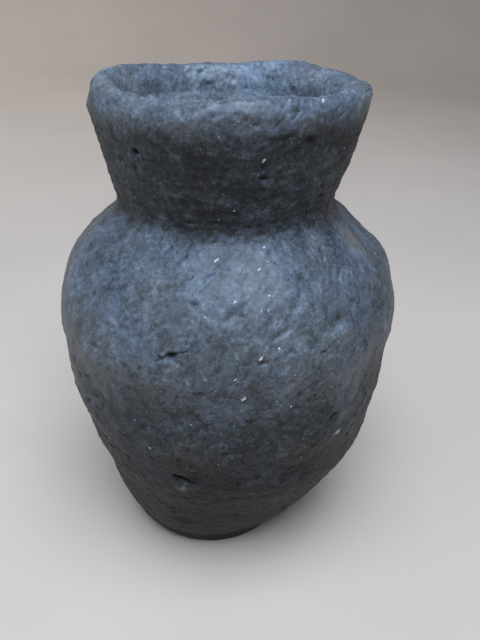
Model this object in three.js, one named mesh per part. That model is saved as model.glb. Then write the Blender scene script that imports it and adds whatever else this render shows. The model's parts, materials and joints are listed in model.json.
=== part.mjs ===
// A small hand-built jar of black clay: a narrow foot, an egg-shaped body, a pinched neck and a
// flared mouth with a thick rounded lip. Its wall is a pad with clay coils laid on it one by one,
// each pinched up into a ring and joined to the ring below along a slanting seam.
// Millimetres, +Z up. The origin is under the middle of the body, on the surface it rests on.
import * as THREE from "three";

// Driving dimensions of the outside, from the foot up.
const footRadius = 18.6;
const footFlare = 30; // degrees from upright at which the wall leaves the foot
const bellyRadius = 37.4;
const bellyHeight = 63.5; // of the widest line of the body
const shoulderRise = 21.5; // from the belly to the crease under the neck
const shoulderSlope = 41; // degrees below level at which the shoulder leaves the crease
const neckRadius = 22.5;
const neckRise = 24.8; // from the crease to the crest of the lip
const rimRadius = 27.8;
const rimFlare = 11; // degrees from upright of the neck just under the lip
const lipRound = 3.3; // height of the rounded lip above the widest line of the rim

// How far each end of a curved stretch runs straight on, as a share of the height it spans.
const footStraight = 0.26;
const bellyStraightDown = 0.5;
const bellyStraightUp = 0.38;
const creaseStraight = 0.42;
const neckStraight = 0.14;
const rimStraight = 0.48;

// Clay thicknesses.
const wallThickness = 5.4;
const lipThickness = 6.2;
const insideEase = 4; // the inside evens out bends of the outside over this distance

// Coils and the seams between them.
const wallCoilNames = ["foot_coil", "lower_wall_coil", "middle_wall_coil", "belly_coil", "shoulder_coil"];
const padRise = 6.5; // of the pad's edge, up to the seam of the first coil
const rimCoilRise = 7.5; // from the seam under the rim coil to the crest of the lip
const seamLap = 2; // how far the inner edge of a seam lies above its outer edge
const seamGap = 0.15; // the film of slip between two coils
const coilSwell = 0.3; // how far the middle of a coil stands out past its seams

// What the hands left uneven. Turns are in degrees, counted from +X towards +Y.
const footShift = 4.2; // the foot sits this far to the left of the body
const footShiftRise = 29; // over which the wall comes back to the middle
const ovalSwell = 0.36; // of the long way across the body
const ovalTurn = 23;
const rimTilt = 0.45; // the lip is this much higher on its high side
const rimTiltTurn = 140;
const rimWave = 0.5; // three low humps along the lip
const rimWaveTurn = 54;

// Steps of the faceted model.
const stepsAround = 56;
const stepsPerCoil = 4;
const stepsOverLip = 8;
const outlineSteps = 80; // along each curved stretch

const neckHeight = bellyHeight + shoulderRise;
const height = neckHeight + neckRise;
const rimHeight = height - lipRound;
const radians = THREE.MathUtils.degToRad;
const { lerp, mapLinear, smoothstep } = THREE.MathUtils;

// The outline from the foot's edge to the widest line of the rim, as radius and height.
function outlinePath() {
  const neckSpan = rimHeight - neckHeight;
  const footRun = footStraight * bellyHeight;
  const creaseRun = creaseStraight * shoulderRise;
  const rimRun = rimStraight * neckSpan;
  const path = new THREE.Path();
  path.moveTo(footRadius, 0);
  path.bezierCurveTo(
    footRadius + footRun * Math.tan(radians(footFlare)), footRun,
    bellyRadius, bellyHeight * (1 - bellyStraightDown),
    bellyRadius, bellyHeight,
  );
  path.bezierCurveTo(
    bellyRadius, bellyHeight + bellyStraightUp * shoulderRise,
    neckRadius + creaseRun / Math.tan(radians(shoulderSlope)), neckHeight - creaseRun,
    neckRadius, neckHeight,
  );
  path.bezierCurveTo(
    neckRadius, neckHeight + neckStraight * neckSpan,
    rimRadius - rimRun * Math.tan(radians(rimFlare)), rimHeight - rimRun,
    rimRadius, rimHeight,
  );
  return path;
}

const outline = outlinePath().getPoints(outlineSteps);

// Radius of the outline at a height; past its ends it carries on straight up and down.
function outlineRadius(z) {
  if (z <= 0) return footRadius;
  const upper = outline.findIndex((point) => point.y >= z);
  if (upper < 0) return rimRadius;
  const below = outline[upper - 1];
  const above = outline[upper];
  return mapLinear(z, below.y, above.y, below.x, above.x);
}

// The inside follows the evened outline a wall's thickness away, and ends square under the lip.
function insideRadius(z) {
  const low = outlineRadius(z - insideEase);
  const high = outlineRadius(z + insideEase);
  const evened = (low + outlineRadius(z) + high) / 3;
  const slope = (high - low) / (2 * insideEase);
  const followed = evened - wallThickness * Math.hypot(1, slope);
  const lipShare = smoothstep(z, neckHeight, rimHeight);
  return lerp(followed, outlineRadius(z) - lipThickness, lipShare);
}

// Heights of the seams, from the pad's edge up to the one under the rim coil.
function seamHeights() {
  const coilRise = (neckHeight - padRise) / wallCoilNames.length;
  const seams = wallCoilNames.map((_, i) => padRise + i * coilRise);
  return [...seams, neckHeight, height - rimCoilRise];
}

// Points up the outside or the inside between two heights, ends included.
function pointsUp(radiusAt, from, to, swell = 0) {
  return Array.from({ length: stepsPerCoil + 1 }, (_, i) => {
    const share = i / stepsPerCoil;
    const z = lerp(from, to, share);
    return new THREE.Vector2(radiusAt(z) + swell * Math.sin(Math.PI * share), z);
  });
}

// The pad is a disc whose edge is the start of the wall.
function padSection(seamAbove) {
  const floor = seamAbove + seamLap;
  return [
    new THREE.Vector2(0, 0),
    ...pointsUp(outlineRadius, 0, seamAbove),
    new THREE.Vector2(insideRadius(floor), floor),
    new THREE.Vector2(0, floor),
  ];
}

// A coil fills the wall from the seam under it, a film of slip higher, to the seam above.
function coilSection(seamBelow, seamAbove) {
  const low = seamBelow + seamGap;
  const outside = pointsUp(outlineRadius, low, seamAbove, coilSwell);
  const inside = pointsUp(insideRadius, low + seamLap, seamAbove + seamLap).reverse();
  return [...outside, ...inside, outside[0].clone()];
}

// The rim coil ends in the lip: half an ellipse from the widest line over to the inside.
function rimSection(seamBelow) {
  const low = seamBelow + seamGap;
  const outside = pointsUp(outlineRadius, low, rimHeight);
  const half = lipThickness / 2;
  const crest = new THREE.EllipseCurve(rimRadius - half, rimHeight, half, lipRound, 0, Math.PI);
  const lip = crest.getPoints(stepsOverLip).slice(1, -1);
  const inside = pointsUp(insideRadius, low + seamLap, rimHeight).reverse();
  return [...outside, ...lip, ...inside, outside[0].clone()];
}

// Moves a point of the true round jar to where the hands left it.
function shapeByHand(point) {
  const turn = Math.atan2(point.y, point.x);
  const radius = Math.hypot(point.x, point.y);
  const bodyShare = smoothstep(point.z, 0, bellyHeight);
  const footShare = 1 - smoothstep(point.z, 0, footShiftRise);
  const rimShare = smoothstep(point.z, neckHeight, height);
  const swell = bodyShare * ovalSwell * Math.cos(2 * (turn - radians(ovalTurn)));
  const tilt = rimTilt * Math.cos(turn - radians(rimTiltTurn));
  const wave = rimWave * Math.cos(3 * (turn - radians(rimWaveTurn)));
  const stretch = radius > 0 ? 1 + swell / radius : 1;
  point.x = point.x * stretch - footShift * footShare;
  point.y *= stretch;
  point.z += rimShare * (tilt + wave);
}

// Turns a section about the upright axis and shapes it by hand.
function clayRing(name, section, material) {
  const geometry = new THREE.LatheGeometry(section, stepsAround);
  geometry.rotateX(Math.PI / 2);
  const position = geometry.getAttribute("position");
  const point = new THREE.Vector3();
  for (let i = 0; i < position.count; i++) {
    point.fromBufferAttribute(position, i);
    shapeByHand(point);
    position.setXYZ(i, point.x, point.y, point.z);
  }
  geometry.computeVertexNormals();
  const mesh = new THREE.Mesh(geometry, material);
  mesh.name = name;
  return mesh;
}

function clay(color, roughness) {
  return new THREE.MeshStandardMaterial({ color, roughness, metalness: 0 });
}

const burnishedClay = clay(0x3d4249, 0.5);
const wipedClay = clay(0x34383e, 0.75);
const groundClay = clay(0x2c2e31, 0.85);

const seams = seamHeights();
const jar = new THREE.Group();
jar.add(clayRing("base_pad", padSection(seams[0]), groundClay));
wallCoilNames.forEach((name, i) => {
  jar.add(clayRing(name, coilSection(seams[i], seams[i + 1]), burnishedClay));
});
jar.add(clayRing("neck_coil", coilSection(neckHeight, height - rimCoilRise), wipedClay));
jar.add(clayRing("rim_coil", rimSection(height - rimCoilRise), wipedClay));

export default jar;
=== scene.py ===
"""A small hand-built jar of black clay, on a pale floor in soft light.

The wall is measured from the CAD coils by rays, smoothed, and rebuilt as one fine surface with the
coil swells, finger marks, pits, cracks and grit of hand-built clay. It is then divided at the seams
into one closed piece for each coil. Lengths are in millimetres up to the meshes, which are in metres.
"""

import json
import math

import bpy
import numpy as np
from mathutils import Matrix, Vector
from mathutils.bvhtree import BVHTree


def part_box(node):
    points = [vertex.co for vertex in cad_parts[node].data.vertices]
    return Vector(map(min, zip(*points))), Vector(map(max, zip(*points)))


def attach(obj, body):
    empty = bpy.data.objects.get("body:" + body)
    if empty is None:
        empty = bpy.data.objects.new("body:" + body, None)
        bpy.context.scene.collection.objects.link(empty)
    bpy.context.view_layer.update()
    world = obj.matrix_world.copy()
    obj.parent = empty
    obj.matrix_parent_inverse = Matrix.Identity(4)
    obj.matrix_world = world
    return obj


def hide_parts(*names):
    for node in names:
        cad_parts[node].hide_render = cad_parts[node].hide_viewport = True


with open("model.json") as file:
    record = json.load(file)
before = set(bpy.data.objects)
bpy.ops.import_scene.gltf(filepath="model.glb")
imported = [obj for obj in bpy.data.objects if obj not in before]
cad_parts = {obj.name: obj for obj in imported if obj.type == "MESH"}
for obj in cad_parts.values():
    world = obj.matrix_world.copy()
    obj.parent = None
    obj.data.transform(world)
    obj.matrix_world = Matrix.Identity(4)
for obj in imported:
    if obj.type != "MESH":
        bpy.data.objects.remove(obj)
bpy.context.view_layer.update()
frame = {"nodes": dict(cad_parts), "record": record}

MM = 0.001
COILS = (
    "base_pad",
    "foot_coil",
    "lower_wall_coil",
    "middle_wall_coil",
    "belly_coil",
    "shoulder_coil",
    "neck_coil",
    "rim_coil",
)


def seam_heights():
    """Height of the outer seam under each coil, and last the highest point of the lip."""
    heights = [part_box(name)[0].z / MM for name in COILS]
    return heights + [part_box("rim_coil")[1].z / MM]


# Heights read from the CAD coils.
SEAMS = seam_heights()
CREASE = SEAMS[COILS.index("neck_coil")]
HEIGHT = SEAMS[-1]
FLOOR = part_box("base_pad")[1].z / MM  # the inside floor

# The grid that the wall is built on.
SURVEY_TURNS = 112  # directions in which the CAD wall is measured
CLEAR_RADIUS = 90  # rays come in from this far out
CLEAR_HEIGHT = HEIGHT + 20  # and down on the lip from here
AROUND = 800  # rows of the grid round the jar
OUTSIDE_STEP = 0.28  # between stations up the outside
MOUTH_STEP = 0.4  # down the inside of the neck
INSIDE_STEP = 0.75  # down the inside of the body
UNDER_STATIONS = 33  # this and the next four are numbers of stations
LIP_RISE_STATIONS = 21
LIP_FALL_STATIONS = 24
FILLET_STATIONS = 11
FLOOR_STATIONS = 25
ZONES = ("under", "body", "neck", "lip", "mouth", "deep", "fillet", "floor", "end")
MAP_SHARE = 0.97  # of the unrolled map, for the wall; the rest is for the grit

# Roundings that the CAD coils leave square.
FOOT_FILLET = 1.6
INSIDE_FILLET = 4.0
LIP_ROUND = 3.3  # height of the rounded lip above the upright wall, outside
LIP_BEVEL = 2.4  # how much further down the lip's gentler inner side reaches
LIP_CORNER_TURN = -6  # degrees; the lip is squarer and wider round this direction
LIP_CORNER_SPREAD = 48
LIP_CORNER_FLARE = 0.8
BELOW_LIP = 1.5  # the wall is measured up to this far under the lip's own rounding
SOFT_REACH = 22  # stations to each side of the crease and the lip's edges that are softened
SOFT_WIDTH = 5

FRONT_TURN = -90  # the direction that counts as the jar's front, in degrees
OUT_OF_REACH = 1e3  # stands for the distance to a place that a press can't touch

# Loose grains of quartz sand.
GRIT_PER_AREA = 0.085  # grains on each square millimetre
# Most big grains sit where the shoulder and belly glint, and their pale colour is partly a painted
# glint.
BIG_GRAINS = {  # on each coil: share of its height, turn in degrees, size
    "rim_coil": ((0.84, -54, 0.50),),
    "neck_coil": ((0.89, -79.7, 0.42),),
    "shoulder_coil": (
        (0.80, -97.6, 0.50), (0.90, -77, 0.34), (0.76, -77, 0.30), (0.71, -81, 0.34),
        (0.48, -79, 0.34), (0.35, -80, 0.28), (0.35, -82.5, 0.26), (0.44, -91, 0.34),
        (0.31, -100, 0.36), (0.39, -15, 0.36),
    ),
    "belly_coil": (
        (0.97, -78, 0.62), (0.85, -83.6, 0.55), (0.34, -88, 0.60), (0.62, -91, 0.30),
    ),
}
GRAIN_CORNERS = 12
GRAIN_FACES = 20
PALE_QUARTZ = 2.0  # the value of the relief shading and grit layer at which a grain is wholly pale

# Rubbing strokes on the shoulder: share of its height, turn and slant in degrees.
RUBBED_STROKES = (
    (0.85, -93, 40), (0.68, -87, 55), (0.50, -80, 42), (0.82, -74, 35), (0.40, -70, 50),
    (0.35, -90, 38), (0.62, -64, 45), (0.70, -101, 50),
)


# ---- camera and light


def add_camera():
    """A close view from a hand's height, tilted down at the jar and a little askew."""
    place = Vector((-6.6, -127.3, 127.2)) * MM
    turn, tilt, roll = math.radians(4.28), math.radians(29.53), math.radians(0.9)
    camera = bpy.data.cameras.new("camera")
    camera.lens = 34.3
    camera.clip_start = 0.005
    aim = Matrix.Rotation(-turn, 4, "Z") @ Matrix.Rotation(math.pi / 2 - tilt, 4, "X")
    view = bpy.data.objects.new("camera", camera)
    view.matrix_world = Matrix.Translation(place) @ aim @ Matrix.Rotation(roll, 4, "Z")
    bpy.context.scene.collection.objects.link(view)
    bpy.context.scene.camera = view


def add_lamp(name, place, target, size, power, colour):
    """A square soft lamp at a place, aimed at a target. Lengths here are in metres."""
    lamp = bpy.data.lights.new(name, "AREA")
    lamp.size = size
    lamp.energy = power
    lamp.color = colour
    holder = bpy.data.objects.new(name, lamp)
    holder.location = place
    holder.rotation_euler = (Vector(target) - Vector(place)).to_track_quat("-Z", "Y").to_euler()
    bpy.context.scene.collection.objects.link(holder)


def add_light():
    """One broad cool lamp nearly overhead, like a high window, a little light from the left and on
    the floor behind, and a dim room all round."""
    shoulder = (0, 0, 0.07)
    add_lamp("overhead", (0.02, -0.26, 0.68), shoulder, 0.5, 8.3, (0.60, 0.77, 1.0))
    add_lamp("left", (-0.62, -0.12, 0.24), shoulder, 0.35, 1.25, (0.60, 0.79, 1.0))
    add_lamp("behind", (-0.30, 0.62, 0.55), (-0.25, 0.75, 0), 0.5, 1.7, (0.80, 0.90, 1.0))
    world = bpy.data.worlds.new("room")
    world.use_nodes = True
    background = world.node_tree.nodes["Background"]
    background.inputs["Color"].default_value = (0.70, 0.84, 1.0, 1)
    background.inputs["Strength"].default_value = 0.08
    bpy.context.scene.world = world
    bpy.context.scene.view_settings.view_transform = "Standard"


def add_floor():
    """A round studio floor that curves up into a low wall, far from the jar on every side."""
    flat, reach, rise = 0.75, 1.25, 0.6
    flat_steps, rising_steps, around = 6, 12, 96
    curve = [(flat * k / flat_steps, 0.0) for k in range(flat_steps + 1)]
    for k in range(1, rising_steps + 1):
        angle = math.pi / 2 * k / rising_steps
        curve.append((flat + (reach - flat) * math.sin(angle), rise * (1 - math.cos(angle))))
    vertices = [(0.0, 0.0, 0.0)]
    faces = []
    for k in range(around):
        turn = 2 * math.pi * k / around
        vertices += [(r * math.cos(turn), r * math.sin(turn), z) for r, z in curve[1:]]
    rings = len(curve) - 1
    for k in range(around):
        here, there = 1 + k * rings, 1 + (k + 1) % around * rings
        faces.append((0, here, there))
        faces += [(here + j, here + j + 1, there + j + 1, there + j) for j in range(rings - 1)]
    mesh = bpy.data.meshes.new("floor")
    mesh.from_pydata(vertices, [], faces)
    mesh.shade_smooth()
    floor = bpy.data.objects.new("floor", mesh)
    bpy.context.scene.collection.objects.link(floor)
    mesh.materials.append(paper_material())


# ---- numbers on the surface


def smoothstep(low, high, x):
    """0 below low, 1 above high, and an even S between them."""
    share = np.clip((x - low) / (high - low), 0, 1)
    return share * share * (3 - 2 * share)


def bell(distance):
    """1 at distance 0, falling smoothly to nothing at 1."""
    inside = np.clip(1 - distance * distance, 0, 1)
    return inside * inside


def lattice_noise(points, size, seed):
    """Smooth random values, about -1 to 1, whose lumps are size across. points is (..., 3)."""
    cells = 48
    table = np.random.default_rng(seed).uniform(-1, 1, (cells, cells, cells)).astype(np.float32)
    scaled = points / size + 500.0
    base = np.floor(scaled)
    part = (scaled - base).astype(np.float32)
    part = part * part * (3 - 2 * part)
    corner = base.astype(np.int64)
    low, high = corner % cells, (corner + 1) % cells
    total = 0
    for pick in range(8):
        index, weight = [], 1
        for axis in range(3):
            upper = pick >> axis & 1
            index.append((high if upper else low)[..., axis])
            weight = weight * (part[..., axis] if upper else 1 - part[..., axis])
        total = total + weight * table[tuple(index)]
    return total * 1.6


def ring_noise(turn, up, around, size, slant, seed):
    """Smooth random streaks that close round the jar: around of them side by side, size tall."""
    rows = 97
    table = np.random.default_rng(seed).uniform(-1, 1, (around, rows)).astype(np.float32)
    a = turn / (2 * np.pi) * around + slant * up
    b = up / size + 200.0
    a0, b0 = np.floor(a), np.floor(b)
    fa, fb = a - a0, b - b0
    fa, fb = fa * fa * (3 - 2 * fa), fb * fb * (3 - 2 * fb)
    ia, ib = a0.astype(np.int64), b0.astype(np.int64)
    value = 0
    for da, wa in ((0, 1 - fa), (1, fa)):
        for db, wb in ((0, 1 - fb), (1, fb)):
            value = value + wa * wb * table[(ia + da) % around, (ib + db) % rows]
    return value * 1.5


# ---- the wall, from the CAD coils


def cad_tree():
    """All CAD coils as one tree for ray casts, in millimetres."""
    vertices, faces = [], []
    for name in COILS:
        mesh = frame["nodes"][name].data
        start = len(vertices)
        vertices += [v.co / MM for v in mesh.vertices]
        faces += [[start + i for i in p.vertices] for p in mesh.polygons]
    return BVHTree.FromPolygons(vertices, faces)


class Survey:
    """The CAD wall round the jar's axis, measured by rays."""

    def __init__(self):
        self.tree = cad_tree()
        self.turns = np.arange(SURVEY_TURNS) * 2 * np.pi / SURVEY_TURNS

    def hit(self, origin, direction):
        """The first point of the wall that a ray meets."""
        return self.tree.ray_cast(Vector(origin), Vector(direction))[0]

    def outer(self, turn, z):
        """Radius of the outside, from a ray that comes in from well clear of the jar."""
        way = Vector((math.cos(turn), math.sin(turn), 0))
        found = self.hit(way * CLEAR_RADIUS + Vector((0, 0, z)), -way)
        return math.hypot(found.x, found.y)

    def inner(self, turn, z):
        """Radius of the inside, from a ray that goes out from the axis."""
        way = Vector((math.cos(turn), math.sin(turn), 0))
        found = self.hit(Vector((0, 0, z)), way)
        return math.hypot(found.x, found.y)

    def crest(self, turn, radius):
        """Height of the lip's top at a radius, from a ray that comes down on it."""
        place = Vector((radius * math.cos(turn), radius * math.sin(turn), CLEAR_HEIGHT))
        return self.hit(place, (0, 0, -1)).z

    def wall(self, cast, heights):
        """Radii at some heights for every row of the grid."""
        radii = [[cast(turn, z) for z in heights] for turn in self.turns]
        return closed_curve(np.array(radii), AROUND)

    def crest_line(self, radius):
        """Height of the lip's top for every row of the grid."""
        heights = [[self.crest(turn, radius)] for turn in self.turns]
        return closed_curve(np.array(heights), AROUND, harmonics=8)[:, 0]


def closed_curve(values, count, harmonics=14):
    """Values round the jar, resampled to count turns and freed of the CAD facets."""
    spectrum = np.fft.rfft(values, axis=0)
    spectrum[harmonics + 1 :] = 0
    full = np.zeros((count // 2 + 1,) + values.shape[1:], complex)
    full[: len(spectrum)] = spectrum
    return np.fft.irfft(full, count, axis=0) * count / len(values)


def smooth_curve(heights, radii, wanted, degree):
    """Radii at the wanted heights, from a smooth curve through the measured ones."""
    middle, half = (heights[0] + heights[-1]) / 2, (heights[-1] - heights[0]) / 2
    fit = np.polynomial.chebyshev.chebfit((heights - middle) / half, radii.T, degree)
    return np.polynomial.chebyshev.chebval((wanted - middle) / half, fit)


def spaced(start, end, step):
    """Numbers from start to end about step apart, both ends included."""
    count = max(int(round(abs(end - start) / step)), 1)
    return np.linspace(start, end, count + 1)


def row_turns():
    """The direction of each row of the grid, in radians, as a column."""
    return (np.arange(AROUND) * 2 * np.pi / AROUND)[:, None]


def degrees_from(turn_degrees):
    """How far each row of the grid is from a direction, in degrees, as a column."""
    rows = np.arange(AROUND) * 360 / AROUND
    return np.abs((rows - turn_degrees + 180) % 360 - 180)[:, None]


def lip_curve(outer_r, inner_r, level):
    """The lip, from the outside over the crest to the inside, where it is bevelled more gently.
    Its outer edge is squarer and wider round one direction."""
    square = bell(degrees_from(LIP_CORNER_TURN) / LIP_CORNER_SPREAD)
    outer_r = outer_r + LIP_CORNER_FLARE * square
    crest_r = (outer_r + inner_r) / 2 + 0.4 * square
    level = level + 0.5 * square
    rise = np.linspace(0, np.pi / 2, LIP_RISE_STATIONS + 1)[1:]
    power = 1 - 0.6 * square  # 1 is a quarter of an ellipse, and less is squarer
    front_r = crest_r + (outer_r - crest_r) * np.cos(rise) ** power
    front_z = level + LIP_ROUND * np.sin(rise) ** power
    fall = np.linspace(np.pi / 2, np.pi, LIP_FALL_STATIONS + 2)[1:-1]
    back_r = crest_r + (crest_r - inner_r) * np.cos(fall)
    back_z = level - LIP_BEVEL + (LIP_ROUND + LIP_BEVEL) * np.sin(fall)
    return np.hstack([front_r, back_r]), np.hstack([front_z, back_z])


def softened(values, stations):
    """Values blurred along the wall, near the given stations only."""
    margin = 3 * SOFT_WIDTH
    span = np.arange(-margin, margin + 1)
    kernel = np.exp(-0.5 * (span / SOFT_WIDTH) ** 2)
    kernel /= kernel.sum()
    blurred = values.copy()
    inner = slice(margin, values.shape[1] - margin)
    blurred[:, inner] = sum(
        weight * values[:, inner.start + shift : inner.stop + shift]
        for weight, shift in zip(kernel, span)
    )
    near = np.zeros(values.shape[1])
    for station in stations:
        near = np.maximum(near, bell((np.arange(values.shape[1]) - station) / SOFT_REACH))
    return values + near * (blurred - values)


def wall_grid():
    """The jar's section at every turn: radius and height of each station from the middle of the
    underside, up the outside, over the lip, down the inside and in to the middle of the floor."""
    survey = Survey()
    rim_level = HEIGHT - LIP_ROUND - BELOW_LIP
    neck_span = rim_level - CREASE
    body_heights = np.linspace(0.5, CREASE - 0.6, 90)
    neck_heights = np.linspace(CREASE + 0.4, rim_level, 40)
    inside_heights = np.linspace(FLOOR + 1, rim_level, 110)
    body = survey.wall(survey.outer, body_heights)
    neck = survey.wall(survey.outer, neck_heights)
    inside = survey.wall(survey.inner, inside_heights)
    crest = survey.crest_line((neck[:, -1].mean() + inside[:, -1].mean()) / 2)

    body_rows = spaced(0, CREASE, OUTSIDE_STEP)
    neck_rows = spaced(0, 1, OUTSIDE_STEP / neck_span)
    inner_top = 1 - LIP_BEVEL / neck_span
    inner_rows = spaced(inner_top, 0, MOUTH_STEP / neck_span)
    deep_rows = spaced(CREASE, FLOOR + INSIDE_FILLET, INSIDE_STEP)
    body_r = smooth_curve(body_heights, body, body_rows, degree=11)
    neck_r = smooth_curve(neck_heights, neck, CREASE + neck_rows * neck_span, degree=6)
    inner_r = smooth_curve(inside_heights, inside, CREASE + inner_rows * neck_span, degree=13)
    deep_r = smooth_curve(inside_heights, inside, deep_rows, degree=13)
    lift = (crest - LIP_ROUND - rim_level)[:, None]
    lip_r, lip_z = lip_curve(neck_r[:, -1:], inner_r[:, :1], rim_level + lift)

    under = np.linspace(0, 1, UNDER_STATIONS + 1)[:-1]
    floor = np.linspace(1, 0, FLOOR_STATIONS + 1)[1:]
    fillet = np.linspace(0, np.pi / 2, FILLET_STATIONS + 1)[1:]
    wall_r = deep_r[:, -1:]
    fillet_r = wall_r - INSIDE_FILLET * (1 - np.cos(fillet))
    fillet_z = FLOOR + INSIDE_FILLET * (1 - np.sin(fillet))

    full = np.ones((AROUND, 1))
    radius = np.hstack([
        body_r[:, :1] * under, body_r, neck_r[:, 1:], lip_r,
        inner_r, deep_r[:, 1:], fillet_r, fillet_r[:, -1:] * floor,
    ])
    height = np.hstack([
        full * 0 * under, full * body_rows,
        CREASE + neck_rows[1:] * (neck_span + lift), lip_z,
        CREASE + inner_rows * (neck_span + lift), full * deep_rows[1:],
        full * fillet_z, full * (FLOOR + 0 * floor),
    ])
    counts = [len(under), len(body_rows), len(neck_rows) - 1, lip_r.shape[1], len(inner_rows),
              len(deep_rows) - 1, len(fillet), len(floor)]
    zones = dict(zip(ZONES, np.cumsum([0] + counts)))
    soft_places = (zones["neck"], zones["lip"], zones["mouth"])
    radius = softened(radius, soft_places)
    height = softened(height, soft_places)
    return radius, height, zones


def round_foot(radius, height, zones):
    """Rounds the edge of the foot: the lowest stretch of wall curves in to the underside."""
    body = zones["body"]
    z = height[:, body:]
    low = z < FOOT_FILLET
    inset = FOOT_FILLET - np.sqrt(np.maximum(FOOT_FILLET**2 - (FOOT_FILLET - z) ** 2, 0))
    outside = np.arange(radius.shape[1] - body) < zones["neck"] - body
    radius[:, body:] -= np.where(low & outside, inset, 0)
    edge = radius[:, body : body + 1]
    radius[:, :body] = edge * np.linspace(0, 1, body + 1)[:-1]
    return radius


def to_points(radius, height):
    """Points of the grid from the radius and height of each."""
    turn = row_turns()
    return np.stack([radius * np.cos(turn), radius * np.sin(turn), height], -1)


def unit(vectors):
    """The same directions, each with a length of 1."""
    return vectors / np.maximum(np.linalg.norm(vectors, axis=-1, keepdims=True), 1e-12)


def surface_normals(points):
    """Outward normals of the grid of points (turn, station)."""
    around = np.roll(points, -1, 0) - np.roll(points, 1, 0)
    along = np.gradient(points, axis=1)
    normals = unit(np.cross(around, along))
    normals[:, 0] = (0, 0, -1)
    normals[:, -1] = (0, 0, 1)
    return normals


# ---- shapes to press in


def turned(side, up, degrees):
    """Distances along and across a line that slants by degrees from level."""
    c, s = math.cos(math.radians(degrees)), math.sin(math.radians(degrees))
    return side * c + up * s, up * c - side * s


def pock(size, depth):
    """A little crater with a raised rim."""

    def shape(side, up):
        distance = np.hypot(side, up) / size
        return depth * (bell((distance - 1) / 0.6) - bell(distance))

    return shape


def slit(length, width, depth, slant, bend):
    """A curved cut: deepest along its middle line, closing to nothing at both ends."""

    def shape(side, up):
        along, across = turned(side, up, slant)
        across = across - bend * (along / length) ** 2
        opening = np.sqrt(np.clip(1 - (2 * along / length) ** 2, 0, 1)) * width / 2
        return -depth * bell(across / np.maximum(opening, 1e-3)) * (opening > 0)

    return shape


def ledge(length, width, rise, slant, drop):
    """A flap of clay pushed out below a cut."""

    def shape(side, up):
        along, across = turned(side, up, slant)
        return rise * bell(np.hypot(2 * along / length, (across + drop) / width))

    return shape


def dimple(wide, tall, depth, slant=0.0):
    """An oval hollow, or a bump where its depth is below zero."""

    def shape(side, up):
        along, across = turned(side, up, slant)
        return -depth * bell(np.hypot(2 * along / wide, 2 * across / tall))

    return shape


# ---- what the hands left


class Skin:
    """The wall as a grid, with the relief that is pressed into it before it is made a mesh."""

    def __init__(self):
        radius, height, self.zones = wall_grid()
        radius = round_foot(radius, height, self.zones)
        self.points = to_points(radius, height)
        self.normals = surface_normals(self.points)
        self.turn = np.broadcast_to(row_turns(), radius.shape)
        self.height = height
        self.radius = radius
        station = np.arange(radius.shape[1])
        self.outside = (station >= self.zones["body"]) & (station < self.zones["lip"])
        self.on_lip = (station >= self.zones["lip"]) & (station < self.zones["mouth"])
        self.relief = np.zeros_like(radius)
        self.tone = np.zeros_like(radius)
        self.stain = np.zeros_like(radius)
        self.worn = self.wear_and_shading_layer()

    def wear_and_shading_layer(self):
        """How pale the clay is: rubbing and handling paled it most on the lip and shoulder, least on
        the foot, in the neck and inside. Painted shade darkens it further towards the foot, in the
        neck under the lip and deeper inside, and painted light brightens the inside just past the
        lip."""
        z = self.height
        # Paler up the body where it was rubbed, and darker towards the foot with painted shade.
        body = 0.5 * smoothstep(14, 58, z) + 0.35 * smoothstep(48, 68, z)
        # Painted shade: the lowest part of the body a little darker still.
        body -= 0.07 * (1 - smoothstep(8, 36, z))
        # The neck is darker: less rubbed clay, and painted shade under the overhanging lip.
        neck = smoothstep(CREASE - 3, CREASE + 2, z) * (1 - smoothstep(HEIGHT - 9, HEIGHT - 3, z))
        outside = body - 0.43 * neck + 0.1 * smoothstep(HEIGHT - 10, HEIGHT - 4, z)
        # Inside, darker further down: less rubbed clay, and painted shade deeper in the jar.
        inside = 0.1 + 0.85 * smoothstep(CREASE, HEIGHT - 8, z)
        past_lip = np.arange(z.shape[1]) - self.zones["mouth"]
        # Painted light on the inner side of the lip and on the inside wall just below it.
        return np.where(past_lip < 0, outside, inside) + 0.3 * bell(past_lip / 30)

    def spot(self, coil, up, turn):
        """The place on the outside of a coil at a share of its height and a turn in degrees."""
        i = COILS.index(coil)
        z = SEAMS[i] + up * (SEAMS[i + 1] - SEAMS[i])
        row = int(round(turn % 360 / 360 * AROUND)) % AROUND
        start, end = self.zones["body"], self.zones["mouth"]
        station = start + int(np.argmin(np.abs(self.height[row, start:end] - z)))
        return row, station

    def axes(self, place):
        """Unit vectors sideways, up along the wall and out of it."""
        normal = self.normals[place]
        side = unit(np.cross((0, 0, 1), normal))
        return side, np.cross(normal, side), normal

    def local(self, place, reach):
        """Rows, stations and the sideways and upward distance of the grid within reach."""
        row, station = place
        side, up, normal = self.axes(place)
        width = int(reach / (self.radius[row, station] * 2 * np.pi / AROUND)) + 2
        rows = np.arange(row - width, row + width + 1) % AROUND
        step = np.linalg.norm(self.points[row, station] - self.points[row, station - 1])
        tall = int(reach / max(step, 0.1)) + 2
        low = max(station - tall, self.zones["body"])
        high = min(station + tall + 1, self.zones["end"])
        window = np.ix_(rows, np.arange(low, high))
        away = self.points[window] - self.points[place]
        facing = (self.normals[window] * normal).sum(-1) > 0.2  # not the far side of the wall
        return window, np.where(facing, away @ side, OUT_OF_REACH), away @ up

    def press(self, place, reach, shape, tone=0.0):
        """Adds shape(side, up) to the relief around a place, and the same pattern of colour: an
        amount below zero is painted shade in the hollow or cut, and one above zero is painted light
        on the bump or ridge, which turns to pale grit past 1.
        """
        window, side, up = self.local(place, reach)
        change = np.where(side < OUT_OF_REACH, shape(side, up), 0)
        self.relief[window] += change
        peak = np.abs(change).max()
        if tone and peak > 0:
            self.tone[window] += tone * np.abs(change) / peak


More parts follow.
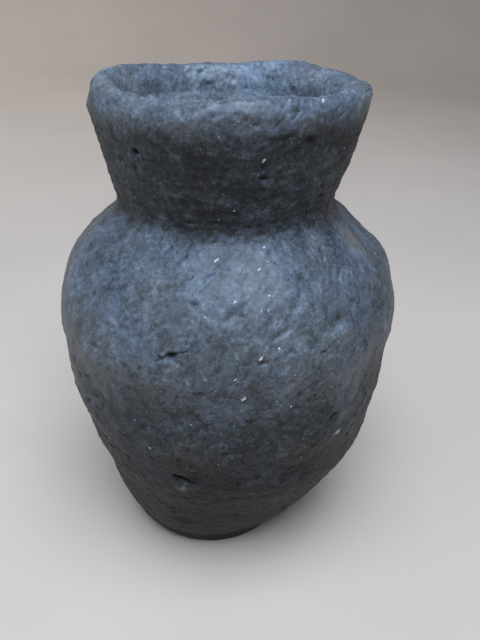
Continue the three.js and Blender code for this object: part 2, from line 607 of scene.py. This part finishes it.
def near_front(turn_degrees, spread):
    """True for a direction within spread degrees of the front of the jar."""
    return abs((turn_degrees - FRONT_TURN + 180) % 360 - 180) < spread


def paint(skin, layer, place, reach, strength):
    """Adds a soft-edged round patch to one of the skin's colour layers."""
    window, side, up = skin.local(place, reach)
    layer[window] += strength * bell(np.hypot(side, up) / reach)


def hand_relief(skin):
    """Swelling coils, finger facets and the unevenness of wiped and rubbed clay."""
    p, z = skin.points, skin.height
    swell = np.zeros_like(z)
    neck = COILS.index("neck_coil")
    for low, high in zip(SEAMS[1:neck], SEAMS[2 : neck + 1]):
        share = np.clip((z - low) / (high - low), 0, 1)
        swell += 0.34 * np.sin(np.pi * share) ** 2
    swell -= 0.1 * (1 - smoothstep(CREASE, CREASE + 8, z))
    skin.relief += np.where(skin.outside, swell, 0)
    foot_calm = smoothstep(0, 6, z)
    calm_below = 0.6 + 0.4 * smoothstep(30, 60, z)
    broad, narrow = lattice_noise(p, 17, seed=11), lattice_noise(p, 8, seed=12)
    facets = 0.42 * broad + 0.2 * calm_below * narrow
    inside_calm = 0.6 + 0.4 * smoothstep(CREASE, HEIGHT - 10, z)
    skin.relief += facets * np.where(skin.outside | skin.on_lip, foot_calm, inside_calm)
    skin.relief += 0.13 * calm_below * lattice_noise(p, 3.4, seed=13)
    lip_rough = 0.10 * lattice_noise(p, 4.4, seed=14) + 0.06 * lattice_noise(p, 1.9, seed=15)
    near_lip = smoothstep(CREASE + 12, CREASE + 21, z)
    skin.relief += lip_rough * near_lip


def wipe_lines(skin):
    """Level lines of wet wiping round the neck, and slanting rubbing strokes on the body."""
    z, turn = skin.height, skin.turn
    neck = smoothstep(CREASE - 2, CREASE + 2, z) * (1 - smoothstep(CREASE + 15, CREASE + 20, z))
    level = ring_noise(turn, z, around=18, size=0.75, slant=0.0, seed=21)
    level += 0.6 * ring_noise(turn, z, around=31, size=0.4, slant=0.02, seed=22)
    skin.relief += 0.065 * level * neck
    # Painted light and shade that follow the wiped lines.
    skin.tone += 0.16 * level * neck
    body = smoothstep(30, 48, z) * (1 - smoothstep(CREASE - 3, CREASE, z))
    strokes = ring_noise(turn, z, around=150, size=5.0, slant=-0.8, seed=23)
    strokes += 0.7 * ring_noise(turn, z, around=260, size=3.0, slant=-1.5, seed=24)
    broken = smoothstep(-0.3, 0.7, lattice_noise(skin.points, 6, seed=25)) * body * skin.outside
    skin.relief += 0.07 * strokes * broken
    # Painted light and shade that follow the rubbing strokes.
    skin.tone += 0.15 * strokes * broken


def grainy_relief(skin):
    """The sandy surface: fine noise, smoother where the shoulder was rubbed."""
    p, z = skin.points, skin.height
    rubbed = smoothstep(40, 60, z) * (1 - smoothstep(CREASE - 4, CREASE, z))
    coarse = lattice_noise(p, 1.5, seed=31)
    fine = lattice_noise(p, 0.75, seed=32)
    amount = 0.045 + 0.03 * smoothstep(12, 34, z) - 0.03 * rubbed
    grit = coarse + 0.75 * fine
    skin.relief += amount * grit
    # Painted light and shade that follow the sandy relief.
    skin.tone += 0.22 * grit


def scatter(skin, count, seed, low, high):
    """Random places on the outside and over the lip, between two heights."""
    rng = np.random.default_rng(seed)
    start, end = skin.zones["body"], skin.zones["deep"]
    heights = skin.height[0, start:end]
    allowed = start + np.flatnonzero((heights > low) & (heights < high))
    weight = skin.radius[0, allowed]
    stations = rng.choice(allowed, count, p=weight / weight.sum())
    rows = rng.integers(0, AROUND, count)
    return list(zip(rows, stations)), rng


def pebble(rng, size):
    """A small angular grain: the corners of a crushed icosahedron, and its faces."""
    golden = (1 + 5**0.5) / 2
    corners = np.array([
        (-1, golden, 0), (1, golden, 0), (-1, -golden, 0), (1, -golden, 0),
        (0, -1, golden), (0, 1, golden), (0, -1, -golden), (0, 1, -golden),
        (golden, 0, -1), (golden, 0, 1), (-golden, 0, -1), (-golden, 0, 1),
    ])
    faces = np.array([
        (0, 11, 5), (0, 5, 1), (0, 1, 7), (0, 7, 10), (0, 10, 11), (1, 5, 9), (5, 11, 4),
        (11, 10, 2), (10, 7, 6), (7, 1, 8), (3, 9, 4), (3, 4, 2), (3, 2, 6), (3, 6, 8),
        (3, 8, 9), (4, 9, 5), (2, 4, 11), (6, 2, 10), (8, 6, 7), (9, 8, 1),
    ])
    crushed = rng.uniform(0.75, 1.15, (GRAIN_CORNERS, 1))
    corners = corners / np.linalg.norm(corners[0]) * crushed
    turn = np.linalg.qr(rng.normal(size=(3, 3)))[0]
    if np.linalg.det(turn) < 0:
        turn[0] *= -1
    squash = np.array([1.0, rng.uniform(0.6, 1.0), rng.uniform(0.45, 0.8)])
    return (corners * squash * size) @ turn, faces


def grit_on(skin, number, start, end):
    """Pale sand grains half sunk in the coil of that number, between two stations of the wall."""
    rng = np.random.default_rng(700 + number)
    area = (end - start) * OUTSIDE_STEP * 2 * np.pi * skin.radius[0, start:end].mean()
    count = int(area * GRIT_PER_AREA)
    spots, points, faces = [], [], []
    for _ in range(count):
        row, station = rng.integers(0, AROUND), rng.integers(start + 2, end - 2)
        size = 0.09 + min(rng.exponential(0.06), 0.3)
        spots.append(((row, station), size, 1.1 + 0.9 * rng.random() ** 4))
    loose = len(spots)
    coil = COILS[number]
    for up, turn, size in BIG_GRAINS.get(coil, ()):
        spots.append((skin.spot(coil, up, turn), size, PALE_QUARTZ))
    for place, size, _ in spots:
        grain, sides = pebble(rng, size)
        side, up, out = skin.axes(place)
        if len(points) >= loose:  # the big grains are long, and slant one way
            slant = 0.7 * (side + up)
            grain = 0.8 * grain + np.outer(grain @ slant, slant)
        faces.append(sides + GRAIN_CORNERS * len(points))
        points.append(grain + skin.points[place] - out * size * 0.3)
    tones = np.repeat([pale for _, _, pale in spots], GRAIN_CORNERS)
    return np.vstack(points), np.vstack(faces), tones


def pits_and_grains(skin):
    """Small pits where grains fell out, and grains that stand proud under a film of clay."""
    # The pits are darkened with painted shade; the pock rims and proud grains are paler, partly with
    # painted light.
    places, rng = scatter(skin, 1500, seed=41, low=2, high=HEIGHT)
    for place in places:
        size = rng.uniform(0.3, 0.55) + rng.exponential(0.16)
        depth = size * rng.uniform(0.16, 0.42)
        squash = rng.uniform(1.0, 1.9)
        skin.press(place, size * squash, dimple(2 * size * squash, 2 * size, depth), -0.9)
    places, rng = scatter(skin, 1900, seed=43, low=34, high=64)
    for place in places:
        if near_front(place[0] * 360 / AROUND, 26):
            size = rng.uniform(0.3, 0.65)
            skin.press(place, 2 * size, pock(size, rng.uniform(0.15, 0.3) * size), 0.3)
    places, rng = scatter(skin, 1700, seed=42, low=2, high=HEIGHT)
    for place in places:
        size = rng.uniform(0.3, 0.7)
        rise = size * rng.uniform(0.12, 0.3)
        skin.press(place, size, dimple(2 * size, 2 * size, -rise), 0.7)


def flats(skin):
    """Broad places where the wall was pressed in or pushed out while it was soft."""
    skin.press(skin.spot("belly_coil", 0.62, 183), 26, dimple(50, 24, 0.95))
    skin.press(skin.spot("shoulder_coil", 0.62, -8), 20, dimple(34, 16, 1.1))
    skin.press(skin.spot("shoulder_coil", 0.20, -2), 20, dimple(30, 10, -0.55))
    skin.press(skin.spot("rim_coil", 0.30, 2), 20, dimple(36, 14, 0.6))
    skin.press(skin.spot("rim_coil", 0.72, 178), 12, dimple(24, 7, 1.4))


def gouge(skin):
    """The deep cut low on the front, over a flap of clay that was pushed out below it."""
    place = skin.spot("lower_wall_coil", 0.80, -108)
    # Painted shade in the cut, and painted light on the flap below it.
    skin.press(place, 7, slit(5.6, 2.1, 1.9, -22, 1.0), -2.4)
    skin.press(place, 7, ledge(6.0, 2.4, 0.4, -14, 2.3), 1.2)
    # More painted light on the flap below the cut.
    for up, turn in ((0.70, -111), (0.66, -108), (0.68, -105), (0.58, -109)):
        paint(skin, skin.worn, skin.spot("lower_wall_coil", up, turn), 2.0, 0.16)


def open_crack(skin):
    """The crack along the seam over the belly coil, left of the front, with a pit at its end."""
    place = skin.spot("belly_coil", 0.88, -109.5)
    # Painted shade in the pit and the crack, and painted light on the lip of clay beside the crack.
    skin.press(place, 5, dimple(2.9, 1.9, 1.0, 30), -1.6)
    skin.press(place, 7, slit(6.8, 0.9, 0.45, 24, -0.9), -1.0)
    skin.press(place, 6, ledge(3.0, 1.0, 0.35, 14, 1.4), 0.6)
    skin.press(skin.spot("belly_coil", 0.84, -112.5), 4, dimple(2.0, 1.0, 0.5, -20), -1.0)


def furrow_and_ridge(skin):
    """The rubbed-down furrow and the long ridge at the belly, with the small marks beside them."""
    furrow = skin.spot("shoulder_coil", 0.10, -77)
    # Painted shade in the furrow and the hollows, and painted light on the ridges.
    skin.press(furrow, 9, dimple(7.5, 1.9, 0.32, 24), -0.9)
    skin.press(furrow, 9, ledge(6.0, 1.2, 0.2, 24, -1.5), 0.4)
    skin.press(skin.spot("belly_coil", 0.99, -84), 5, ledge(4.0, 2.6, 0.4, 10, 0), 0.9)
    ridge = skin.spot("belly_coil", 0.97, -57)
    skin.press(ridge, 10, ledge(9.0, 2.0, 0.5, 20, 0), 0.8)
    skin.press(ridge, 10, ledge(9.0, 2.2, -0.4, 20, -2.6), -0.5)
    skin.press(skin.spot("belly_coil", 0.80, -83), 4, dimple(3.2, 1.4, 0.45, 10), -1.2)
    for turn in (-48, -45, -42):
        skin.press(skin.spot("shoulder_coil", 0.50, turn), 6, ledge(4.6, 0.7, 0.22, 35, 0), 1.0)


def lower_marks(skin):
    """The dent and the crumb beside it low on the right, the small arc, and the pressed foot."""
    # Painted shade in the dent and the pressed foot; painted light on the arc and on the crumb, which
    # is partly pale grit.
    skin.press(skin.spot("middle_wall_coil", 0.76, -57.7), 4, dimple(3.4, 1.6, 0.8, 8), -1.4)
    skin.press(skin.spot("middle_wall_coil", 0.46, -55.5), 4, dimple(3.2, 2.2, -0.6, 25), 1.6)
    skin.press(skin.spot("belly_coil", 0.04, -80), 3, dimple(2.8, 0.9, -0.3, 5), 1.0)
    skin.press(skin.spot("foot_coil", 0.60, -114), 7, dimple(9, 5, 0.6), -0.8)


def neck_pits(skin):
    """The deep pit on the left of the neck, and two shallow ones in the middle."""
    # Painted shade in the pits.
    skin.press(skin.spot("neck_coil", 0.90, -131), 3, dimple(2.1, 1.7, 1.0), -1.6)
    skin.press(skin.spot("neck_coil", 0.84, -79), 3, dimple(2.4, 1.8, 0.4), -1.2)
    skin.press(skin.spot("neck_coil", 0.69, -79), 3, dimple(2.4, 0.9, 0.6), -1.4)


def lip_marks(skin):
    """Level folds under the lip, short slanting nicks on it, and a chip on the left."""
    # Painted shade in the folds, nicks and chip, and painted light on the bump.
    skin.press(skin.spot("rim_coil", 0.20, -74.5), 6, dimple(7.5, 1.7, 0.35, 3), -1.6)
    skin.press(skin.spot("rim_coil", 0.12, -62), 6, dimple(8.0, 1.8, 0.3, -4), -1.3)
    skin.press(skin.spot("rim_coil", 0.26, -95), 6, dimple(6.0, 1.6, 0.25, 8), -1.0)
    for turn, up in ((-75, 0.50), (-68.5, 0.62), (-64, 0.48), (-49, 0.60), (-45.5, 0.50)):
        skin.press(skin.spot("rim_coil", up, turn), 5, dimple(4.2, 0.9, 0.2, 42), -0.4)
    skin.press(skin.spot("rim_coil", 0.95, -124), 3, dimple(3.2, 2.0, -0.5, 20), 0.4)
    skin.press(skin.spot("rim_coil", 0.88, -128), 4, dimple(4.0, 2.2, 0.6, 20), -0.6)


def rubbed_strokes(skin):
    """Shallow slanting strokes where a stone or a finger rubbed the shoulder."""
    for up, turn, slant in RUBBED_STROKES:
        # Painted shade in the strokes.
        skin.press(skin.spot("shoulder_coil", up, turn), 7, dimple(9, 2.6, 0.16, slant), -0.3)


def tan_patches(skin):
    """Tan patches on the right of the shoulder and in the crease."""
    paint(skin, skin.stain, skin.spot("shoulder_coil", 0.72, -24), 6, 0.8)
    paint(skin, skin.stain, skin.spot("neck_coil", 0.03, -20), 4, 0.35)


def marks(skin):
    """The marks that this jar can be told by, mostly on its front."""
    gouge(skin)
    open_crack(skin)
    furrow_and_ridge(skin)
    lower_marks(skin)
    neck_pits(skin)
    lip_marks(skin)
    rubbed_strokes(skin)
    tan_patches(skin)


# ---- materials


def node(tree, kind, **values):
    """A new node with its sockets or settings given by name."""
    made = tree.nodes.new(kind)
    for key, value in values.items():
        if key in made.inputs:
            made.inputs[key].default_value = value
        else:
            setattr(made, key, value)
    return made


def ramp(tree, source, stops):
    """A colour that follows a value through stops, each a place from 0 to 1 and a colour."""
    made = tree.nodes.new("ShaderNodeValToRGB")
    made.color_ramp.elements[0].position, made.color_ramp.elements[0].color = stops[0]
    made.color_ramp.elements[1].position, made.color_ramp.elements[1].color = stops[-1]
    for place, colour in stops[1:-1]:
        made.color_ramp.elements.new(place).color = colour
    tree.links.new(source, made.inputs["Fac"])
    return made.outputs["Color"]


def mixed(tree, blend, factor, first, second):
    """Two colours blended. Each value is a number, a colour or another node's output."""
    made = tree.nodes.new("ShaderNodeMix")
    made.data_type = "RGBA"
    made.blend_type = blend
    for socket, value in ((0, factor), (6, first), (7, second)):
        if isinstance(value, (int, float, tuple)):
            made.inputs[socket].default_value = value
        else:
            tree.links.new(value, made.inputs[socket])
    return made.outputs[2]


def maths(tree, operation, *values, clamp=False):
    """One step of arithmetic. Each value is a number or another node's output."""
    made = tree.nodes.new("ShaderNodeMath")
    made.operation = operation
    made.use_clamp = clamp
    for socket, value in enumerate(values):
        if isinstance(value, (int, float)):
            made.inputs[socket].default_value = value
        else:
            tree.links.new(value, made.inputs[socket])
    return made.outputs[0]


def noise(tree, where, scale, detail=3, roughness=0.6, distortion=0.0):
    """Random clouds, with about scale lumps to the metre."""
    made = node(tree, "ShaderNodeTexNoise", Scale=scale, Detail=detail, Roughness=roughness,
                Distortion=distortion)
    tree.links.new(where, made.inputs["Vector"])
    return made.outputs["Fac"]


def attribute(tree, label):
    """A value stored on the mesh."""
    return node(tree, "ShaderNodeAttribute", attribute_name=label).outputs["Fac"]


def clay_colour(tree, where, tone, worn, smears, grains, fine):
    """Smoke-black to grey-blue clay, mottled at four sizes, paler where rubbed and where light is
    painted on, and darker where shade is painted. Proud grains and raised clay are paler, partly with
    painted light, and pits, cuts and folds are darkened with painted shade. Faint clouds of warm and
    cool lie over it."""
    clouds = noise(tree, where, 85, 6, 0.62)
    shade = maths(tree, "MULTIPLY_ADD", clouds, 0.8, -0.40)
    for layer, share in ((smears, 0.7), (grains, 0.8), (fine, 0.6)):
        level = maths(tree, "ADD", shade, -share / 2)
        shade = maths(tree, "MULTIPLY_ADD", layer, share, level)
    # Painted shade in pits and cuts and painted light on grains and raised clay, with the pale grit.
    shade = maths(tree, "MULTIPLY_ADD", tone, 0.16, shade)
    # Paler where rubbed and where light is painted on, darker where shade is painted.
    shade = maths(tree, "MULTIPLY_ADD", worn, 0.7, shade)
    clay = ramp(tree, shade, [
        (0.0, (0.010, 0.010, 0.010, 1)),
        (0.30, (0.026, 0.027, 0.027, 1)),
        (0.70, (0.105, 0.118, 0.135, 1)),
        (1.0, (0.230, 0.250, 0.280, 1)),
    ])
    hue = noise(tree, where, 75, 3, 0.5)
    tint = ramp(tree, hue, [(0.38, (1.0, 0.95, 0.89, 1)), (0.62, (0.94, 0.98, 1.06, 1))])
    return mixed(tree, "MULTIPLY", 1.0, clay, tint)


def clay_material(name, rough, coat_rough):
    """Smoke-blackened clay, with tan patches where that attribute is high. Where the layer of relief
    shading and grit goes over 1 it turns into a loose grain of sand, which is wholly pale and
    glossier at 2."""
    material = bpy.data.materials.new(name)
    material.use_nodes = True
    tree = material.node_tree
    shader = tree.nodes["Principled BSDF"]
    where = tree.nodes.new("ShaderNodeTexCoord").outputs["Object"]
    tone, worn = attribute(tree, "tone"), attribute(tree, "worn")
    smears = noise(tree, where, 420, 3, 0.6, 0.6)
    grains = noise(tree, where, 1250, 3, 0.7)
    fine = noise(tree, where, 3000, 2, 0.7)

    clay = clay_colour(tree, where, tone, worn, smears, grains, fine)
    broken = maths(tree, "MULTIPLY_ADD", smears, 2.2, -0.4)
    patchy = maths(tree, "MULTIPLY", attribute(tree, "stain"), broken, clamp=True)
    clay = mixed(tree, "MIX", patchy, clay, (0.21, 0.165, 0.13, 1))
    is_grit = maths(tree, "MULTIPLY_ADD", tone, 1.0, -1.0, clamp=True)
    # The grit's colour: the paleness of quartz sand, and partly a painted glint.
    grit_and_glint_colour = ramp(tree, fine, [(0.35, (0.22, 0.23, 0.25, 1)), (0.65, (0.80, 0.82, 0.85, 1))])
    colour = mixed(tree, "MIX", is_grit, clay, grit_and_glint_colour)
    tree.links.new(colour, shader.inputs["Base Color"])

    roughness = maths(tree, "MULTIPLY_ADD", grains, 0.35, rough - 0.17)
    roughness = maths(tree, "MULTIPLY_ADD", tone, -0.06, roughness)
    roughness = maths(tree, "MULTIPLY_ADD", is_grit, -0.30, roughness, clamp=True)
    tree.links.new(roughness, shader.inputs["Roughness"])
    shader.inputs["Specular IOR Level"].default_value = 0.22
    burnish = maths(tree, "MULTIPLY_ADD", worn, 0.75, -0.15, clamp=True)
    tree.links.new(burnish, shader.inputs["Coat Weight"])
    shader.inputs["Coat Roughness"].default_value = coat_rough
    shader.inputs["Coat IOR"].default_value = 1.5

    bump = node(tree, "ShaderNodeBump", Strength=0.6, Distance=0.00016)
    height = maths(tree, "MULTIPLY_ADD", fine, 0.7, grains)
    tree.links.new(height, bump.inputs["Height"])
    tree.links.new(bump.outputs["Normal"], shader.inputs["Normal"])
    return material


def paper_material():
    """Plain pale floor with a faint unevenness."""
    material = bpy.data.materials.new("pale_floor")
    material.use_nodes = True
    tree = material.node_tree
    shader = tree.nodes["Principled BSDF"]
    where = tree.nodes.new("ShaderNodeTexCoord").outputs["Object"]
    cloud = noise(tree, where, 9, 4, 0.5)
    colour = ramp(tree, cloud, [(0.3, (0.63, 0.49, 0.39, 1)), (0.7, (0.68, 0.53, 0.42, 1))])
    tree.links.new(colour, shader.inputs["Base Color"])
    shader.inputs["Roughness"].default_value = 0.85
    shader.inputs["Specular IOR Level"].default_value = 0.25
    return material


# ---- the pieces


def unrolled(stations, skin):
    """How far along the section each station lies, in millimetres from the first."""
    line = skin.points[0, stations]
    steps = np.linalg.norm(np.diff(line, axis=0), axis=1)
    return np.concatenate([[0], np.cumsum(steps)])


def lathe_quads(rows, columns, along, closed):
    """Quads of a grid that closes round the jar, and round the section too if closed, with their
    corners on the unrolled map."""
    row = np.arange(rows)[:, None]
    after = (row + 1) % rows
    column = np.arange(columns if closed else columns - 1)[None]
    following = (column + 1) % columns
    corners = [(row, column), (after, column), (after, following), (row, following)]
    quads = np.stack([r * columns + c for r, c in corners], -1).reshape(-1, 4)
    end = along[-1] + along[1] if closed else along[-1]
    share = np.append(along, end) / end * MAP_SHARE
    left = row / rows + 0 * column
    right = (row + 1) / rows + 0 * column
    low = share[column] + 0 * row
    high = share[column + 1] + 0 * row
    across = np.stack([left, right, right, left], -1)
    upward = np.stack([low, low, high, high], -1)
    return quads, np.stack([across, upward], -1).reshape(-1, 4, 2)


def quad_normals(points, normals, quads, flat_quads):
    """Smooth corner normals, but flat ones on the faces of the seams."""
    result = normals[quads]
    corners = points[quads]
    flat = unit(np.cross(corners[:, 2] - corners[:, 0], corners[:, 3] - corners[:, 1]))
    result[flat_quads] = flat[flat_quads][:, None]
    return result


def colour_layers(skin, stations, middles=0):
    """The skin's colour layers at some stations, and nothing at any middle points after them."""
    layers = {"tone": skin.tone, "worn": skin.worn, "stain": skin.stain}
    blank = np.zeros(middles)
    return {label: np.append(layer[:, stations], blank) for label, layer in layers.items()}


def band_surface(skin, outer, inner):
    """One coil as a closed ring: stations outer[0]..outer[1] of the outside, the seam face, the
    stations inner[0]..inner[1] of the inside, and the seam face back."""
    first = np.arange(outer[0], outer[1] + 1)
    stations = np.concatenate([first, np.arange(inner[0], inner[1] + 1)])
    count = len(stations)
    quads, uvs = lathe_quads(AROUND, count, unrolled(stations, skin), True)
    points = skin.points[:, stations].reshape(-1, 3)
    normals = skin.normals[:, stations].reshape(-1, 3)
    seams = np.isin(np.arange(count), (len(first) - 1, count - 1))
    on_seam = np.broadcast_to(seams[None], (AROUND, count)).ravel()
    return {
        "points": points,
        "layers": colour_layers(skin, stations),
        "faces": [(quads, quad_normals(points, normals, quads, on_seam), uvs)],
    }


def pad_surface(skin, outer_end, inner_start):
    """The pad: underside, foot, seam face and floor, with its two middles closed to a point."""
    first = np.arange(1, outer_end + 1)
    stations = np.concatenate([first, np.arange(inner_start, skin.points.shape[1] - 1)])
    count = len(stations)
    quads, uvs = lathe_quads(AROUND, count, unrolled(stations, skin), False)
    middles = [skin.points[:, 0].mean(0), skin.points[:, -1].mean(0)]
    points = np.vstack([skin.points[:, stations].reshape(-1, 3), middles])
    normals = np.vstack([skin.normals[:, stations].reshape(-1, 3), (0, 0, -1), (0, 0, 1)])
    seams = np.arange(count - 1) == len(first) - 1
    on_seam = np.broadcast_to(seams[None], (AROUND, count - 1)).ravel()
    ring = np.arange(AROUND)
    following = (ring + 1) % AROUND
    below = np.stack([following * count, ring * count, 0 * ring + AROUND * count], -1)
    top = count - 1
    above = np.stack([
        ring * count + top, following * count + top, 0 * ring + AROUND * count + 1
    ], -1)
    faces = [(quads, quad_normals(points, normals, quads, on_seam), uvs)]
    across = np.stack([ring, ring + 1, ring + 0.5], -1) / AROUND
    for fan, level in ((below, 0.0), (above, MAP_SHARE)):
        faces.append((fan, normals[fan], np.stack([across, 0 * across + level], -1)))
    return {"points": points, "layers": colour_layers(skin, stations, middles=2), "faces": faces}


def add_grit(surface, grit):
    """Joins loose grains to the surface of the coil they sit in."""
    points, triangles, pale = grit
    corners = points[triangles]
    flat = unit(np.cross(corners[:, 1] - corners[:, 0], corners[:, 2] - corners[:, 0]))
    grains = len(points) // GRAIN_CORNERS
    grain = np.repeat(np.arange(grains), GRAIN_FACES)[:, None]
    across = (grain + np.array([0.1, 0.9, 0.5])) / grains  # side by side, above the wall's map
    upward = np.broadcast_to(np.array([0.984, 0.984, 0.998]), across.shape)
    surface["faces"].append((
        triangles + len(surface["points"]),
        np.repeat(flat[:, None], 3, axis=1),
        np.stack([across, upward], -1),
    ))
    surface["points"] = np.vstack([surface["points"], points])
    for label, values in (("tone", pale), ("worn", 0 * pale + 0.5), ("stain", 0 * pale)):
        surface["layers"][label] = np.append(surface["layers"][label], values)


def build_mesh(name, surface):
    """A Blender mesh in metres, with its corner normals, attributes and unrolled map."""
    faces = surface["faces"]
    corners = np.concatenate([part.ravel() for part, _, _ in faces]).astype(np.int32)
    sizes = np.concatenate([np.full(len(part), part.shape[1]) for part, _, _ in faces])
    corner_normals = np.vstack([normals.reshape(-1, 3) for _, normals, _ in faces])
    corner_uvs = np.vstack([uvs.reshape(-1, 2) for _, _, uvs in faces])
    mesh = bpy.data.meshes.new(name)
    mesh.vertices.add(len(surface["points"]))
    mesh.vertices.foreach_set("co", (surface["points"] * MM).astype(np.float32).ravel())
    mesh.loops.add(len(corners))
    mesh.loops.foreach_set("vertex_index", corners)
    mesh.polygons.add(len(sizes))
    starts = np.append(0, np.cumsum(sizes)[:-1])
    mesh.polygons.foreach_set("loop_start", starts.astype(np.int32))
    mesh.polygons.foreach_set("loop_total", sizes.astype(np.int32))
    mesh.update(calc_edges=True)
    mesh.shade_smooth()
    for label, values in surface["layers"].items():
        stored = mesh.attributes.new(label, "FLOAT", "POINT")
        stored.data.foreach_set("value", values.astype(np.float32))
    unrolled_map = mesh.uv_layers.new(name="OFBake")
    unrolled_map.data.foreach_set("uv", corner_uvs.astype(np.float32).ravel())
    mesh.normals_split_custom_set(corner_normals.tolist())
    return mesh


def add_piece(mesh, material):
    """The mesh as an object that rides the jar's one body."""
    piece = bpy.data.objects.new(mesh.name, mesh)
    bpy.context.scene.collection.objects.link(piece)
    mesh.materials.append(material)
    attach(piece, "root")
    return piece


def clay_finishes():
    """The three finishes of the one clay, by material slot."""
    return {
        "burnished_clay": clay_material("burnished_clay", rough=0.55, coat_rough=0.45),
        "wiped_clay": clay_material("wiped_clay", rough=0.65, coat_rough=0.48),
        "ground_clay": clay_material("ground_clay", rough=0.75, coat_rough=0.60),
    }


def split_into_coils(skin):
    """Divides the surface at the seams into a closed piece for each coil."""
    zones = skin.zones
    wall = slice(zones["body"], zones["mouth"])
    inside = slice(zones["mouth"], zones["floor"])
    outer_heights = skin.height[:, wall].mean(0)
    inner_heights = skin.height[:, inside].mean(0)
    lap = FLOOR - SEAMS[1]

    def outer_station(z):
        rising = outer_heights[: np.argmax(outer_heights)]
        return zones["body"] + int(np.argmin(np.abs(rising - z)))

    def inner_station(z):
        return zones["mouth"] + int(np.argmin(np.abs(inner_heights - z)))

    slots = {item["node"]: item["material_slot"] for item in frame["record"]["subparts"]}
    finishes = clay_finishes()
    floor_edge = inner_station(FLOOR + INSIDE_FILLET)
    for i, coil in enumerate(COILS):
        start = outer_station(SEAMS[i])
        end = outer_station(SEAMS[i + 1])
        inner_top = inner_station(SEAMS[i + 1] + lap)
        inner_bottom = inner_station(SEAMS[i] + lap)
        if coil == "base_pad":
            surface = pad_surface(skin, end, floor_edge)
        elif coil == "foot_coil":
            surface = band_surface(skin, (start, end), (inner_top, floor_edge))
        elif coil == "rim_coil":
            surface = band_surface(skin, (start, inner_bottom - 1), (inner_bottom, inner_bottom))
        else:
            surface = band_surface(skin, (start, end), (inner_top, inner_bottom))
        add_grit(surface, grit_on(skin, i, start, end))
        mesh = build_mesh(coil + "_clay", surface)
        piece = add_piece(mesh, finishes[slots[coil]])
        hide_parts(coil)


def press_out(skin):
    """Moves the surface along its normals by the relief, gently under the foot."""
    calm = np.maximum(smoothstep(0, 1.5, skin.height), 0.15)
    under = np.arange(skin.height.shape[1]) < skin.zones["body"]
    relief = np.where(under, -np.abs(skin.relief) * 0.6, skin.relief * calm)
    skin.points = skin.points + skin.normals * relief[..., None]
    skin.points[..., 2] = np.maximum(skin.points[..., 2], 0)
    skin.normals = surface_normals(skin.points)


def make_jar():
    """Builds the wall, works its surface, and divides it into its coils."""
    skin = Skin()
    flats(skin)
    hand_relief(skin)
    wipe_lines(skin)
    grainy_relief(skin)
    pits_and_grains(skin)
    marks(skin)
    press_out(skin)
    split_into_coils(skin)


add_camera()
add_light()
add_floor()
make_jar()
